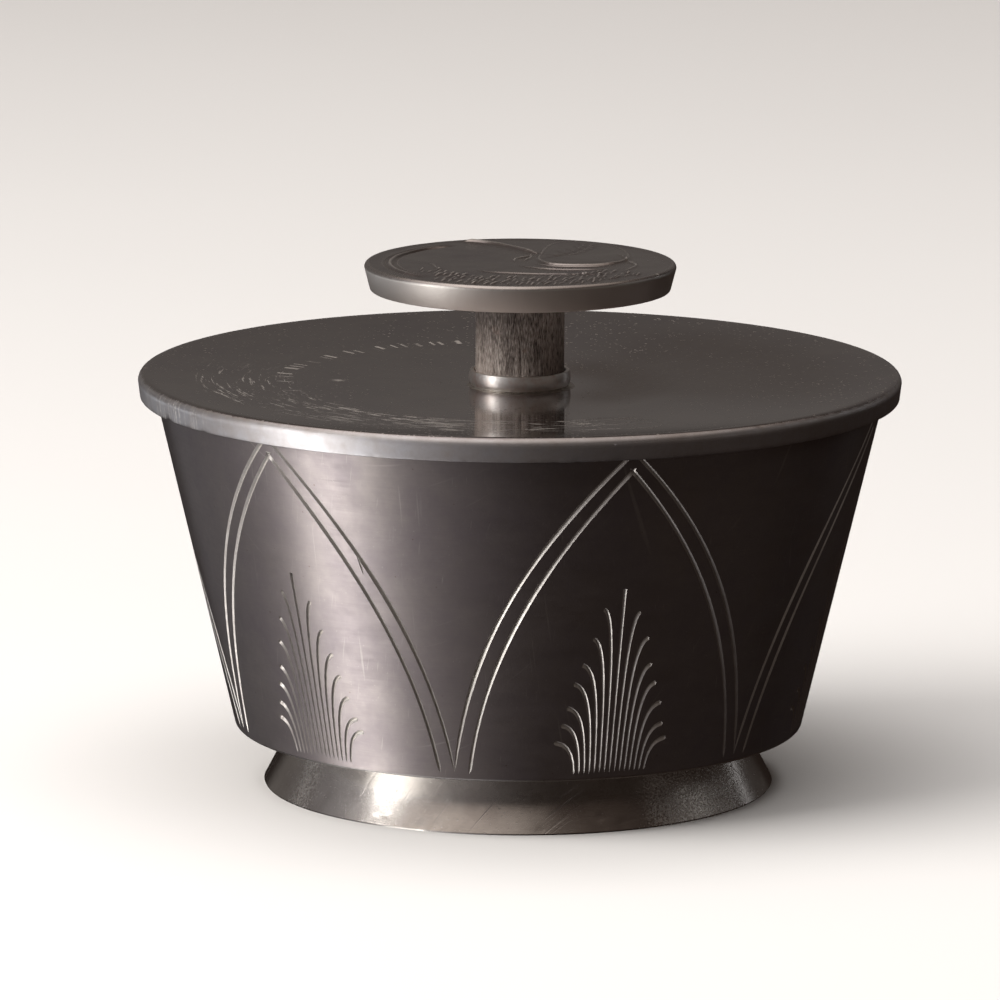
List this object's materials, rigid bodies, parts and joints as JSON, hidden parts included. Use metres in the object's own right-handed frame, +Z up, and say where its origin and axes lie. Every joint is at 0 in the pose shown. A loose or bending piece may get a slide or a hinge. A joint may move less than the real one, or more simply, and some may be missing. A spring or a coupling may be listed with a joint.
{
  "type": "sugar bowl with lid",
  "caption": "Conical metal sugar bowl on a flared foot ring, engraved with arches and sprays, with a lift-off dished lid carrying a disc on a short wooden stem as its knob.",
  "frame": {"origin": "on the bowl's axis, in the plane that the foot ring stands on", "axes": "+Z up along the bowl's axis; +X to the right and -Y towards the viewer, midway between two arches, give or take 15 degrees"},
  "size_m": [0.15, 0.15, 0.1037],
  "materials": {
    "pewter_satin": "pewter, fine level brushing, dull satin, with light scratches",
    "pewter_lid": "pewter, planished and worn to a soft shine, with chatter marks and scratches",
    "pewter_disc": "cast pewter, satin, darkened in the low places of its relief",
    "pewter_polished": "pewter, polished, with streaks of wear",
    "stained_wood": "dark stained hardwood, open grain, worn dull",
    "brass": "plain brass, turned"
  },
  "bodies": {
    "bowl": {"foot_ring": "pewter_polished", "bowl_wall": "pewter_satin", "bowl_floor": "pewter_satin"},
    "lid": {"lid_shell": "pewter_lid", "lid_bezel": "pewter_satin", "knob_collar": "pewter_polished", "knob_stem": "stained_wood", "knob_disc": "pewter_disc", "knob_stud": "brass", "knob_washer": "brass", "knob_nut": "brass"}
  },
  "joints": [
    {"name": "lid_lift", "type": "slide", "parent": "bowl", "child": "lid", "axis": [0, 0, 1], "range_m": [0, 0.12]}
  ]
}
